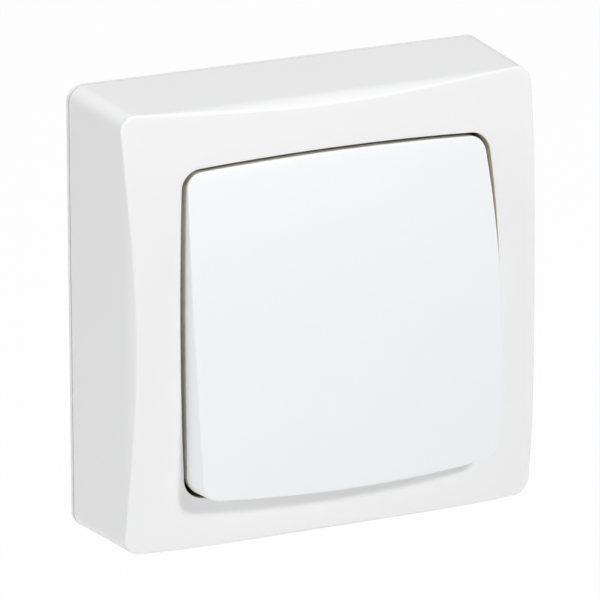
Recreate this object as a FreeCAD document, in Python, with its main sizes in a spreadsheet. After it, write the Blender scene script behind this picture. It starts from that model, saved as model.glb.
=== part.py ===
import FreeCAD, Part
import math
import os
import Sketcher

# Surface mounted light switch, one rocker, two way.
# Millimetres. The wall is the plane y = 0, the front faces -Y and +Z is up.
# A depth is measured from the wall towards the front, so it lies at y = -depth.
# Everything on the rocker is drawn in its middle position and then turned to rest.

DOC = FreeCAD.newDocument("light_switch")
SHEET = DOC.addObject("Spreadsheet::Sheet", "sizes")

# Driving sizes

SIZES = (
    ("plate_width", 83.0, "width and height at the wall"),
    ("corner_radius", 3.0, "upright corners of the cover and base"),
    ("wall_draft", 2.0, "degrees that the cover's sides lean in"),
    ("shoulder_depth", 21.5, "where the sides start to roll in to the front"),
    ("shoulder_radius", 9.5, "radius of that roll"),
    ("dome_depth", 29.4, "depth of the domed front at its top"),
    ("dome_radius", 209.0, "radius of the domed front"),
    ("crease_round", 0.7, "rounding between the sides and the front"),
    ("cover_wall", 2.0, "side wall of the cover"),
    ("front_wall", 2.4, "front wall of the cover"),
    ("collar_wall", 1.6, "wall of the collar round the opening"),
    ("collar_depth", 20.5, "depth of the collar's inner end"),
    ("frame_width", 9.7, "from the plate's edge to the opening, at the middle of a side"),
    ("opening_bulge", 1.5, "how far each side of the opening bows out"),
    ("opening_corner", 4.0, "corner radius of the opening"),
    ("rim_thickness", 0.9, "edge of the base that shows behind the cover"),
    ("joint_gap", 0.15, "joint between base and cover"),
    ("floor_thickness", 2.2, "floor of the base"),
    ("upstand_wall", 1.6, "locating wall of the base"),
    ("upstand_depth", 7.0, "top of the locating wall"),
    ("fit_gap", 0.2, "clearance between the base and the cover"),
    ("snap_length", 9.0, "length of a snap bead"),
    ("snap_depth", 4.6, "depth of the middle of a snap bead"),
    ("snap_height", 1.2, "height of a snap bead"),
    ("snap_reach", 0.6, "how far a snap bead stands out"),
    ("snap_offset", 24.0, "snap beads to each side of the middle"),
    ("fixing_spacing", 60.0, "between the two wall fixing slots"),
    ("fixing_slot_width", 4.4, "width of a wall fixing slot"),
    ("fixing_slot_length", 9.0, "length of a wall fixing slot"),
    ("fixing_pad_depth", 3.4, "raised pad under the fixing screw's head"),
    ("fixing_pad_margin", 2.4, "pad beyond the slot all round"),
    ("knockout_height", 31.5, "cable knock-outs above and below the middle"),
    ("knockout_length", 18.0, "length of a cable knock-out"),
    ("knockout_width", 8.0, "width of a cable knock-out"),
    ("knockout_groove", 0.9, "width of the groove round a knock-out"),
    ("knockout_skin", 0.7, "skin left under the groove"),
    ("post_offset", 4.0, "posts that carry the mechanism, beyond the housing"),
    ("post_radius", 3.6, "radius of a post"),
    ("post_depth", 6.0, "top of a post"),
    ("pilot_radius", 1.3, "pilot hole in a post"),
    ("pilot_end", 1.0, "depth of the pilot hole's closed end"),
    ("housing_width", 44.0, "width of the mechanism housing"),
    ("housing_height", 40.0, "height of the mechanism housing"),
    ("housing_depth", 13.6, "front of the mechanism housing"),
    ("housing_round", 1.5, "upright corners of the housing"),
    ("shelf_depth", 4.0, "shelf on which the contact strips lie"),
    ("tab_width", 9.0, "width of a fixing tab of the housing"),
    ("tab_thickness", 2.0, "thickness of a fixing tab"),
    ("strip_thickness", 0.8, "thickness of the contact strips"),
    ("strip_width", 5.0, "width of the contact strips"),
    ("step_place", 9.1, "step of the common strip, to the left of the middle"),
    ("contact_spacing", 17.0, "between the two fixed contacts"),
    ("chamber_width", 10.0, "width of the contact chamber"),
    ("chamber_height", 27.0, "height of the contact chamber"),
    ("tip_radius", 1.7, "radius of a silver contact tip"),
    ("tip_height", 0.8, "height of a silver contact tip"),
    ("tip_gap", 0.12, "between the middles of the closed contact tips"),
    ("cage_width", 7.6, "terminal cage, across the wire"),
    ("cage_length", 6.6, "terminal cage, along the wire"),
    ("cage_height", 8.0, "terminal cage, front to back"),
    ("cage_wall", 1.0, "wall of a terminal cage"),
    ("cage_place", 16.4, "terminal cages to each side of the middle"),
    ("cage_room", 0.25, "room round a terminal cage"),
    ("wire_hole_radius", 1.9, "hole in the housing for a wire"),
    ("terminal_screw_radius", 1.6, "shank of a terminal screw"),
    ("terminal_head_radius", 2.6, "head of a terminal screw"),
    ("terminal_head_height", 1.8, "head of a terminal screw"),
    ("terminal_screw_reach", 3.2, "shank below the terminal cage's front wall"),
    ("screw_slot_width", 0.8, "driver slot"),
    ("screw_slot_depth", 0.9, "driver slot"),
    ("housing_screw_radius", 1.5, "shank of a housing screw"),
    ("housing_head_radius", 3.0, "head of a housing screw"),
    ("housing_head_height", 1.9, "head of a housing screw"),
    ("housing_screw_length", 6.4, "shank of a housing screw"),
    ("arm_pivot_depth", 6.1, "edge on which the contact arm rocks"),
    ("arm_half_length", 10.6, "half of the contact arm"),
    ("arm_trough", 11.0, "degrees that each half of the arm rises"),
    ("arm_seat_gap", 0.06, "between the arm and its edge"),
    ("edge_round", 0.35, "rounding of the pivot edge"),
    ("rock_angle", 5.7, "degrees that the rocker leans at rest"),
    ("rocker_apex", 32.3, "depth of the rocker's face at its top"),
    ("pivot_drop", 6.8, "the rocker's axis, behind the top of its face"),
    ("rocker_dome_radius", 195.0, "radius of the rocker's face"),
    ("side_gap", 1.3, "gap at the sides of the rocker"),
    ("end_gap", 0.9, "gap above and below the rocker"),
    ("rocker_bulge", 1.2, "how far each side of the rocker bows out"),
    ("rocker_corner", 3.2, "corner radius of the rocker"),
    ("rocker_round", 0.6, "edge rounding of the rocker's face"),
    ("rocker_wall", 1.8, "wall of the rocker"),
    ("skirt_drop", 10.3, "inner end of the rocker's skirt, behind the top of its face"),
    ("trunnion_radius", 2.0, "trunnions on which the rocker turns"),
    ("trunnion_clearance", 0.06, "running clearance of a trunnion"),
    ("trunnion_end", 19.4, "outer end of a trunnion from the middle"),
    ("cradle_half_width", 15.0, "half of the rocker cradle's width"),
    ("cradle_half_height", 12.0, "half of the rocker cradle's height"),
    ("pad_standoff", 1.9, "between the rocker key's inside and the cradle's plate"),
    ("cradle_plate", 1.6, "thickness of the cradle's plate"),
    ("cheek_thickness", 1.8, "cheek that carries a trunnion"),
    ("cheek_half_height", 4.0, "half of a cheek's height"),
    ("guide_radius", 3.4, "guide tube of the plunger"),
    ("guide_reach", 0.2, "how far the guide tube reaches into the housing"),
    ("plunger_radius", 1.6, "radius of the plunger"),
    ("plunger_clearance", 0.06, "running clearance of the plunger"),
    ("plunger_length", 10.5, "length of the plunger"),
    ("plunger_tip_gap", 0.3, "between the plunger and the arm at mid travel"),
    ("spring_wire", 0.22, "radius of the spring wire"),
    ("spring_radius", 1.1, "middle radius of the spring"),
    ("spring_turns", 6.0, "turns of the spring"),
    ("pad_width", 5.0, "pads under the rocker key"),
    ("pad_height", 3.0, "pads under the rocker key"),
    ("pad_place_x", 10.5, "pads to each side of the middle"),
    ("pad_place_z", 6.0, "pads above and below the middle"),
    ("leg_width", 6.0, "snap legs of the rocker key"),
    ("leg_thickness", 1.4, "snap legs of the rocker key"),
    ("leg_place", 9.6, "snap legs above and below the middle"),
    ("hook_height", 1.4, "snap legs behind the cradle's plate"),
    ("hook_reach", 0.6, "hook of a snap leg"),
    ("leg_room", 0.15, "room round a snap leg"),
    ("frame_thickness", 1.8, "plate of the bearing frame"),
    ("frame_margin", 0.6, "bearing frame inside the housing's outline"),
    ("frame_window_width", 15.0, "window of the bearing frame"),
    ("frame_window_height", 19.0, "window of the bearing frame"),
    ("ear_thickness", 2.2, "ears that carry the rocker"),
    ("ear_gap", 0.4, "between an ear and the cradle's cheek"),
    ("ear_half_height", 3.2, "half of an ear's height, and its end radius"),
    ("ear_foot_half_height", 4.8, "half of an ear's foot"),
    ("driver_hole_radius", 3.2, "holes over the terminal screws"),
    ("frame_screw_inset", 3.4, "bearing frame screws, inside the housing's outline"),
    ("frame_screw_radius", 1.1, "shank of a bearing frame screw"),
    ("frame_head_radius", 2.1, "head of a bearing frame screw"),
    ("frame_head_height", 1.4, "head of a bearing frame screw"),
    ("frame_screw_length", 6.0, "shank of a bearing frame screw"),
    ("hole_clearance", 0.15, "clearance holes and pilot holes round a screw"),
)

for row, (alias, size, note) in enumerate(SIZES, start=1):
    SHEET.set("A%d" % row, alias)
    SHEET.set("B%d" % row, repr(size))
    SHEET.set("C%d" % row, note)
    SHEET.setAlias("B%d" % row, alias)
DOC.recompute()

# Sizes that follow from the driving ones

PLATE_HALF = "sizes.plate_width / 2"
COVER_BACK = "(sizes.rim_thickness + sizes.joint_gap)"
DRAFT_TANGENT = "tan(sizes.wall_draft * 1deg)"
SHOULDER_HALF = "(sizes.plate_width / 2 - sizes.shoulder_depth * %s)" % DRAFT_TANGENT
SHOULDER_CENTRE = "(%s - sizes.shoulder_radius * cos(sizes.wall_draft * 1deg))" % SHOULDER_HALF
SHOULDER_LEVEL = "(sizes.shoulder_depth - sizes.shoulder_radius * sin(sizes.wall_draft * 1deg))"
SHOULDER_TOP = "(%s + sizes.shoulder_radius)" % SHOULDER_LEVEL
DOME_REACH = "sizes.plate_width * 0.75"
INNER_CORNER = "(sizes.corner_radius - sizes.cover_wall / 2)"
CORE_HALF = "(sizes.plate_width / 2 - sizes.cover_wall)"
UPSTAND_HALF = "(%s - sizes.upstand_depth * %s - sizes.fit_gap)" % (CORE_HALF, DRAFT_TANGENT)
UPSTAND_INNER = "(%s - sizes.upstand_wall)" % UPSTAND_HALF
OPENING_HALF = "(sizes.plate_width / 2 - sizes.frame_width)"
KEY_HALF_X = "(%s - sizes.side_gap)" % OPENING_HALF
KEY_HALF_Z = "(%s - sizes.end_gap)" % OPENING_HALF
STRIP_TOP = "(sizes.shelf_depth + sizes.strip_thickness)"
CAGE_BACK = "(sizes.shelf_depth - sizes.cage_wall)"
CAGE_FRONT = "(sizes.shelf_depth - sizes.cage_wall + sizes.cage_height)"
CAGE_OUTER = "(sizes.cage_place + sizes.cage_length / 2)"
POST_PLACE = "(sizes.housing_height / 2 + sizes.post_offset)"
TAB_REACH = "(%s + sizes.post_radius)" % POST_PLACE
TAB_FRONT = "(sizes.post_depth + sizes.tab_thickness)"
FRAME_FRONT = "(sizes.housing_depth + sizes.frame_thickness)"
CRADLE_TOP = "(sizes.rocker_apex - sizes.rocker_wall - sizes.pad_standoff)"
CRADLE_BACK = "(%s - sizes.cradle_plate)" % CRADLE_TOP
PIVOT_DEPTH = "(sizes.rocker_apex - sizes.pivot_drop)"
SKIRT_DEPTH = "(sizes.rocker_apex - sizes.skirt_drop)"
GUIDE_END = "(sizes.housing_depth - sizes.guide_reach)"
LEG_END = "(%s - sizes.hook_height)" % CRADLE_BACK
EAR_INNER = "(sizes.cradle_half_width + sizes.ear_gap)"
EAR_OUTER = "(sizes.cradle_half_width + sizes.ear_gap + sizes.ear_thickness)"
ARM_TOP = "(sizes.arm_pivot_depth + sizes.strip_thickness)"
TIP_DEPTH = "(%s + sizes.plunger_tip_gap)" % ARM_TOP
PLUNGER_TOP = "(%s + sizes.plunger_length)" % TIP_DEPTH
BORE_RADIUS = "(sizes.plunger_radius + sizes.plunger_clearance)"
TIP_REACH = "(sizes.contact_spacing / 2 + sizes.tip_height * sin(sizes.arm_trough * 1deg))"
TIP_RISE = ("(sizes.contact_spacing / 2 * tan(sizes.arm_trough * 1deg)"
            " - sizes.tip_height * cos(sizes.arm_trough * 1deg))")
TIP_DROP = "(sizes.arm_pivot_depth - %s - sizes.tip_height - sizes.tip_gap)" % STRIP_TOP
ARM_TILT = "(atan(%s / %s) + asin(%s / %s))" % (TIP_RISE, TIP_REACH, TIP_DROP, TIP_REACH)
SOLIDS = []


def value(expression):
    """The number that an expression on the sheet has now."""
    found = SHEET.evalExpression(expression.replace("sizes.", ""))
    return float(getattr(found, "Value", found))


def minus(expression):
    """The same expression with the other sign, as a depth becomes a y."""
    return "-(%s)" % expression


# Sketches

def sketch_on(body, name, role, offset="0"):
    """An empty sketch on one of the body's own planes, moved along its normal."""
    plane = [item for item in body.Origin.OriginFeatures if item.Role == role][0]
    sketch = body.newObject("Sketcher::SketchObject", name)
    sketch.AttachmentSupport = [(plane, "")]
    sketch.MapMode = "FlatFace"
    if offset != "0":
        sketch.setExpression("AttachmentOffset.Base.z", offset)
    return sketch


def bind(sketch, kind, places, expression):
    """A constraint whose size is an expression on the sheet."""
    index = sketch.addConstraint(Sketcher.Constraint(kind, *places, value(expression)))
    name = "size_%d" % index
    sketch.renameConstraint(index, name)
    sketch.setExpression("Constraints." + name, expression)


def fix_point(sketch, geometry, end, across, up):
    """Put one end of a curve at a place on the sketch."""
    for kind, axis, expression in (("DistanceX", -2, across), ("DistanceY", -1, up)):
        if expression == "0":
            sketch.addConstraint(Sketcher.Constraint("PointOnObject", geometry, end, axis))
        else:
            bind(sketch, kind, (-1, 1, geometry, end), expression)


def loop(sketch, curves):
    """Join curves end to start into a closed outline."""
    for this, following in zip(curves, curves[1:] + curves[:1]):
        sketch.addConstraint(Sketcher.Constraint("Coincident", this, 2, following, 1))


def line(sketch, start, end):
    first = FreeCAD.Vector(value(start[0]), value(start[1]), 0)
    last = FreeCAD.Vector(value(end[0]), value(end[1]), 0)
    return sketch.addGeometry(Part.LineSegment(first, last))


def rectangle(sketch, left, low, right, high):
    """A rectangle from the places of its four sides."""
    corners = ((left, low), (right, low), (right, high), (left, high))
    sides = [line(sketch, corners[n], corners[(n + 1) % 4]) for n in range(4)]
    loop(sketch, sides)
    for side, kind in zip(sides, ("Horizontal", "Vertical", "Horizontal", "Vertical")):
        sketch.addConstraint(Sketcher.Constraint(kind, side))
    fix_point(sketch, sides[0], 1, left, low)
    fix_point(sketch, sides[2], 1, right, high)
    return sides


def square(sketch, half, half_up=None):
    """A rectangle about the middle of the sketch."""
    up = half_up or half
    return rectangle(sketch, minus(half), minus(up), half, up)


def polygon(sketch, corners):
    """A closed outline of straight sides through given corners."""
    count = len(corners)
    sides = [line(sketch, corners[n], corners[(n + 1) % count]) for n in range(count)]
    loop(sketch, sides)
    for side, (across, up) in zip(sides, corners):
        fix_point(sketch, side, 1, across, up)
    return sides


def circle(sketch, across, up, radius):
    centre = FreeCAD.Vector(value(across), value(up), 0)
    shape = Part.Circle(centre, FreeCAD.Vector(0, 0, 1), value(radius))
    index = sketch.addGeometry(shape)
    fix_point(sketch, index, 3, across, up)
    bind(sketch, "Radius", (index,), radius)
    return index


def arc(sketch, centre, radius, first, last):
    """An arc, anticlockwise between two angles in degrees. It still needs its places."""
    middle = FreeCAD.Vector(centre[0], centre[1], 0)
    full = Part.Circle(middle, FreeCAD.Vector(0, 0, 1), radius)
    return sketch.addGeometry(Part.ArcOfCircle(full, math.radians(first), math.radians(last)))


def slot(sketch, across, up, length, width):
    """A slot with round ends, lying along the sketch's first axis."""
    radius = "%s / 2" % width
    reach = "(%s - %s) / 2" % (length, width)
    left = "%s - %s" % (across, reach)
    right = "%s + %s" % (across, reach)
    size = value(radius)
    curves = [
        arc(sketch, (value(left), value(up)), size, 90, 270),
        line(sketch, (left, "%s - %s" % (up, radius)), (right, "%s - %s" % (up, radius))),
        arc(sketch, (value(right), value(up)), size, 270, 450),
        line(sketch, (right, "%s + %s" % (up, radius)), (left, "%s + %s" % (up, radius))),
    ]
    for this, end, following, start in ((0, 2, 1, 1), (1, 2, 2, 1), (2, 2, 3, 1), (3, 2, 0, 1)):
        sketch.addConstraint(Sketcher.Constraint("Tangent", curves[this], end, curves[following], start))
    fix_point(sketch, curves[0], 3, left, up)
    fix_point(sketch, curves[2], 3, right, up)
    bind(sketch, "Radius", (curves[0],), radius)


def barrel(sketch, half_x, half_y, bulge):
    """Four sides that bow out by the same amount between sharp corners."""
    corner_x = "(%s - %s)" % (half_x, bulge)
    corner_y = "(%s - %s)" % (half_y, bulge)
    sides = []
    for turn, chord, reach in ((0, corner_y, half_x), (90, corner_x, half_y),
                               (180, corner_y, half_x), (270, corner_x, half_y)):
        radius = "(%s * %s + %s * %s) / (2 * %s)" % (chord, chord, bulge, bulge, bulge)
        size = value(radius)
        spread = math.degrees(math.asin(value(chord) / size))
        middle = value(reach) - size
        centre = (middle * math.cos(math.radians(turn)), middle * math.sin(math.radians(turn)))
        side = arc(sketch, centre, size, turn - spread, turn + spread)
        bind(sketch, "Radius", (side,), radius)
        sides.append(side)
    loop(sketch, sides)
    starts = ((corner_x, minus(corner_y)), (corner_x, corner_y),
              (minus(corner_x), corner_y), (minus(corner_x), minus(corner_y)))
    for side, (across, up) in zip(sides, starts):
        fix_point(sketch, side, 1, across, up)
    return sides


# Features

def new_body(name):
    return DOC.addObject("PartDesign::Body", name)


def pad(body, sketch, length, symmetric=False):
    feature = body.newObject("PartDesign::Pad", sketch.Name + "_pad")
    feature.Profile = sketch
    feature.setExpression("Length", length)
    if symmetric:
        feature.SideType = "Symmetric"
    DOC.recompute()
    return feature


def leaning_block(body, name, half, back, front):
    """A square block whose four sides lean in towards the front."""
    block = body.newObject("PartDesign::AdditiveWedge", name)
    block.setExpression("Ymin", minus(front))
    block.setExpression("Ymax", minus(back))
    for depth, low, high in ((front, "min", "max"), (back, "2min", "2max")):
        size = "(%s - (%s) * %s)" % (half, depth, DRAFT_TANGENT)
        for axis in ("X", "Z"):
            block.setExpression(axis + low, minus(size))
            block.setExpression(axis + high, size)
    DOC.recompute()
    return block


def pocket(body, sketch, length, forwards=False, symmetric=False):
    """A pocket runs towards the wall, or forwards if asked, and has to take something away."""
    before = body.Shape.Volume
    feature = body.newObject("PartDesign::Pocket", sketch.Name + "_pocket")
    feature.Profile = sketch
    feature.setExpression("Length", length)
    feature.Reversed = forwards
    if symmetric:
        feature.SideType = "Symmetric"
    DOC.recompute()
    if not feature.Shape.Volume < before:
        raise ValueError("%s cuts nothing" % feature.Name)
    return feature


def spin(body, sketch, kind, axis="V_Axis"):
    """A full turn of a profile, added or taken away."""
    feature = body.newObject("PartDesign::" + kind, sketch.Name + "_turn")
    feature.Profile = sketch
    feature.ReferenceAxis = (sketch, [axis])
    feature.Angle = 360
    DOC.recompute()
    return feature


def round_edges(body, name, radius, wanted):
    """Fillet the edges of the body's last feature that pass a test."""
    base = body.Tip
    names = ["Edge%d" % (n + 1) for n, edge in enumerate(base.Shape.Edges) if wanted(edge)]
    if not names:
        raise ValueError("%s finds no edge" % name)
    feature = body.newObject("PartDesign::Fillet", name)
    feature.Base = (base, names)
    feature.setExpression("Radius", radius)
    DOC.recompute()
    return feature


def runs_deep(edge):
    """True for an edge that runs front to back, as an upright corner does."""
    ends = [vertex.Point for vertex in edge.Vertexes]
    return len(ends) == 2 and abs(ends[0].y - ends[1].y) > 0.9 * edge.Length


def round_dome(body, name, radius):
    """Fillet the rim of the domed face."""
    domes = [face for face in body.Tip.Shape.Faces if isinstance(face.Surface, Part.Sphere)]
    rims = [edge for face in domes for edge in face.Edges]
    round_edges(body, name, radius, lambda edge: any(edge.isSame(rim) for rim in rims))


def dome_cut(body, name, apex, radius):
    """Take away all that stands in front of a dome about the Y axis."""
    sketch = sketch_on(body, name, "XY_Plane")
    apex_size, radius_size, reach = value(apex), value(radius), value(DOME_REACH)
    front = "(%s + sizes.cover_wall)" % apex
    spread = math.degrees(math.asin(reach / radius_size))
    curve = arc(sketch, (0, radius_size - apex_size), radius_size, -90, -90 + spread)
    end_y = radius_size - apex_size - math.sqrt(radius_size ** 2 - reach ** 2)
    outer = line(sketch, (DOME_REACH, "%f" % end_y), (DOME_REACH, minus(front)))
    cap = line(sketch, (DOME_REACH, minus(front)), ("0", minus(front)))
    axis = line(sketch, ("0", minus(front)), ("0", minus(apex)))
    loop(sketch, [curve, outer, cap, axis])
    for side, kind in ((outer, "Vertical"), (cap, "Horizontal"), (axis, "Vertical")):
        sketch.addConstraint(Sketcher.Constraint(kind, side))
    fix_point(sketch, curve, 3, "0", "%s - %s" % (radius, apex))
    sketch.addConstraint(Sketcher.Constraint("PointOnObject", curve, 1, -2))
    bind(sketch, "Radius", (curve,), radius)
    fix_point(sketch, cap, 1, DOME_REACH, minus(front))
    return spin(body, sketch, "Groove")


def shoulder_cut(body, name, role):
    """Roll the cover's two opposite sides in towards the front, in line with their lean."""
    sketch = sketch_on(body, name, role)
    outside = "(%s + sizes.cover_wall)" % PLATE_HALF
    start, top, level = minus("sizes.shoulder_depth"), minus(SHOULDER_TOP), minus(SHOULDER_LEVEL)
    lean = value("sizes.wall_draft")
    for sign in (1, -1):
        wall, inner, limit = (place if sign == 1 else minus(place)
                              for place in (SHOULDER_HALF, SHOULDER_CENTRE, outside))
        corners = ((wall, start), (limit, start), (limit, top), (inner, top))
        centre = (value(inner), value(level))
        first, last = (270, 360 - lean) if sign == 1 else (180 + lean, 270)
        starts_at_wall = sign == -1
        if role == "YZ_Plane":
            corners = tuple(corner[::-1] for corner in corners)
            centre = centre[::-1]
            first, last = (90 + lean, 180) if sign == 1 else (180, 270 - lean)
            starts_at_wall = sign == 1
        curve = arc(sketch, centre, value("sizes.shoulder_radius"), first, last)
        sides = [line(sketch, corners[n], corners[n + 1]) for n in range(3)]
        wall_end, top_end = (1, 2) if starts_at_wall else (2, 1)
        for this, end, following, begin in ((curve, wall_end, sides[0], 1), (sides[0], 2, sides[1], 1),
                                            (sides[1], 2, sides[2], 1), (sides[2], 2, curve, top_end)):
            sketch.addConstraint(Sketcher.Constraint("Coincident", this, end, following, begin))
        for number in range(3):
            fix_point(sketch, sides[number], 1, *corners[number])
        fix_point(sketch, sides[2], 2, *corners[3])
        bind(sketch, "Radius", (curve,), "sizes.shoulder_radius")
    return pocket(body, sketch, "sizes.plate_width * 2", symmetric=True)


def keep(thing, label):
    """Name a finished sub-part, which also names its file."""
    thing.Label = label
    SOLIDS.append(thing)
    return thing


def join(kind, name, things):
    """A boolean of two or more solids."""
    result = DOC.addObject(kind, name)
    if kind == "Part::Cut":
        result.Base, result.Tool = things
    else:
        result.Shapes = list(things)
    DOC.recompute()
    return result


def tilt(thing, angle, depth):
    """Turn a thing about a cross axis at a depth, from middle position to rest."""
    turn = "rotation(vector(1; 0; 0); %s)" % angle
    centre = "vector(0; %s; 0)" % minus(depth)
    thing.setExpression("Placement", "placement(vector(0; 0; 0); %s; %s)" % (turn, centre))
    DOC.recompute()


def place(thing, across, depth, up):
    """Move a thing by expressions on the sheet."""
    for axis, expression in (("x", across), ("y", minus(depth)), ("z", up)):
        thing.setExpression("Placement.Base." + axis, expression)


def box(name, left, right, back, front, low, high):
    """A plain block from the places of its six sides, front and back as depths."""
    block = DOC.addObject("Part::Box", name)
    block.setExpression("Length", "%s - %s" % (right, left))
    block.setExpression("Width", "%s - %s" % (front, back))
    block.setExpression("Height", "%s - %s" % (high, low))
    place(block, left, front, low)
    DOC.recompute()
    return block


# Cover with its domed front and barrel shaped opening

def make_cover():
    outer = new_body("cover_outer")
    leaning_block(outer, "cover_block", PLATE_HALF, COVER_BACK, SHOULDER_TOP)
    round_edges(outer, "cover_corners", "sizes.corner_radius", runs_deep)
    shoulder_cut(outer, "cover_side_roll", "XY_Plane")
    shoulder_cut(outer, "cover_end_roll", "YZ_Plane")
    dome_cut(outer, "cover_dome", "sizes.dome_depth", "sizes.dome_radius")
    round_dome(outer, "cover_crease", "sizes.crease_round")
    sketch = sketch_on(outer, "cover_opening", "XZ_Plane")
    barrel(sketch, OPENING_HALF, OPENING_HALF, "sizes.opening_bulge")
    pocket(outer, sketch, "sizes.dome_depth + sizes.cover_wall", forwards=True)
    half = value(OPENING_HALF)
    inside = lambda edge: abs(edge.Vertexes[0].X) < half and abs(edge.Vertexes[0].Z) < half
    round_edges(outer, "opening_corners", "sizes.opening_corner",
                lambda edge: runs_deep(edge) and inside(edge))
    return outer


def make_cover_core():
    """The hollow of the cover, with the collar round the opening left out of it."""
    core = new_body("cover_core")
    leaning_block(core, "core_block", CORE_HALF, "0", SHOULDER_TOP)
    round_edges(core, "core_corners", INNER_CORNER, runs_deep)
    dome_cut(core, "core_dome", "(sizes.dome_depth - sizes.front_wall)",
             "(sizes.dome_radius - sizes.front_wall)")
    sketch = sketch_on(core, "core_collar", "XZ_Plane", "sizes.collar_depth")
    ring = "(%s + sizes.collar_wall)" % OPENING_HALF
    barrel(sketch, ring, ring, "sizes.opening_bulge")
    pocket(core, sketch, "sizes.dome_depth", forwards=True)
    for number, (across, up, turned) in enumerate(snap_places()):
        sketch = sketch_on(core, "snap_recess_%d" % number, "XZ_Plane",
                           "sizes.snap_depth - sizes.snap_height / 2 - sizes.fit_gap")
        snap_outline(sketch, across, up, turned, "sizes.fit_gap + sizes.snap_reach", "sizes.fit_gap")
        pad(core, sketch, "sizes.snap_height + 2 * sizes.fit_gap")
    return core


def snap_places():
    """Two snap beads on each side: how far along, which side, and if it is upright."""
    places = []
    for along in ("sizes.snap_offset", "-sizes.snap_offset"):
        for side in (1, -1):
            places.append((along, side, False))
            places.append((along, side, True))
    return places


def snap_outline(sketch, along, side, turned, reach, room):
    """The plan of one snap bead, from inside the locating wall to its outer face."""
    near = "(%s - %s)" % (UPSTAND_HALF, "sizes.upstand_wall / 2")
    far = "(%s + %s)" % (UPSTAND_HALF, reach)
    low, high = (near, far) if side == 1 else (minus(far), minus(near))
    first = "%s - sizes.snap_length / 2 - %s" % (along, room)
    last = "%s + sizes.snap_length / 2 + %s" % (along, room)
    if turned:
        rectangle(sketch, low, first, high, last)
    else:
        rectangle(sketch, first, low, last, high)


# Base, which is screwed to the wall and carries the rest

def make_base():
    base = new_body("base_plate")
    sketch = sketch_on(base, "base_rim", "XZ_Plane")
    square(sketch, PLATE_HALF)
    pad(base, sketch, "sizes.rim_thickness")
    round_edges(base, "base_corners", "sizes.corner_radius", runs_deep)
    sketch = sketch_on(base, "base_upstand", "XZ_Plane")
    square(sketch, UPSTAND_HALF)
    pad(base, sketch, "sizes.upstand_depth")
    rim = value("sizes.rim_thickness")
    round_edges(base, "upstand_corners", INNER_CORNER, lambda edge: runs_deep(edge) and edge.Length > 1.5 * rim)
    sketch = sketch_on(base, "base_hollow", "XZ_Plane", "sizes.floor_thickness")
    square(sketch, UPSTAND_INNER)
    pocket(base, sketch, "sizes.upstand_depth", forwards=True)
    for number, (along, side, turned) in enumerate(snap_places()):
        sketch = sketch_on(base, "snap_bead_%d" % number, "XZ_Plane",
                           "sizes.snap_depth - sizes.snap_height / 2")
        snap_outline(sketch, along, side, turned, "sizes.snap_reach", "0")
        pad(base, sketch, "sizes.snap_height")
    for sign in (1, -1):
        add_fixing(base, sign)
        add_post(base, sign)
        add_knockout(base, sign)
    keep(base, "base_plate")


def add_fixing(base, sign):
    """A slot for a wall screw, through a raised pad."""
    side = "right" if sign == 1 else "left"
    across = "%d * sizes.fixing_spacing / 2" % sign
    sketch = sketch_on(base, "fixing_pad_" + side, "XZ_Plane")
    slot(sketch, across, "0", "(sizes.fixing_slot_length + 2 * sizes.fixing_pad_margin)",
         "(sizes.fixing_slot_width + 2 * sizes.fixing_pad_margin)")
    pad(base, sketch, "sizes.fixing_pad_depth")
    sketch = sketch_on(base, "fixing_slot_" + side, "XZ_Plane")
    slot(sketch, across, "0", "sizes.fixing_slot_length", "sizes.fixing_slot_width")
    pocket(base, sketch, "sizes.fixing_pad_depth", forwards=True)


def add_post(base, sign):
    """A post with a blind pilot hole, on which a tab of the housing is screwed."""
    side = "high" if sign == 1 else "low"
    up = "%d * %s" % (sign, POST_PLACE)
    sketch = sketch_on(base, "post_" + side, "XZ_Plane")
    circle(sketch, "0", up, "sizes.post_radius")
    pad(base, sketch, "sizes.post_depth")
    sketch = sketch_on(base, "post_pilot_" + side, "XZ_Plane", "sizes.pilot_end")
    circle(sketch, "0", up, "sizes.pilot_radius")
    pocket(base, sketch, "sizes.post_depth", forwards=True)


def add_knockout(base, sign):
    """A groove in the back round a piece that is broken out for the cable."""
    side = "high" if sign == 1 else "low"
    up = "%d * sizes.knockout_height" % sign
    sketch = sketch_on(base, "knockout_" + side, "XZ_Plane")
    slot(sketch, "0", up, "sizes.knockout_length", "sizes.knockout_width")
    slot(sketch, "0", up, "(sizes.knockout_length - 2 * sizes.knockout_groove)",
         "(sizes.knockout_width - 2 * sizes.knockout_groove)")
    pocket(base, sketch, "sizes.floor_thickness - sizes.knockout_skin", forwards=True)


# Mechanism housing and the frame that carries the rocker

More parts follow.
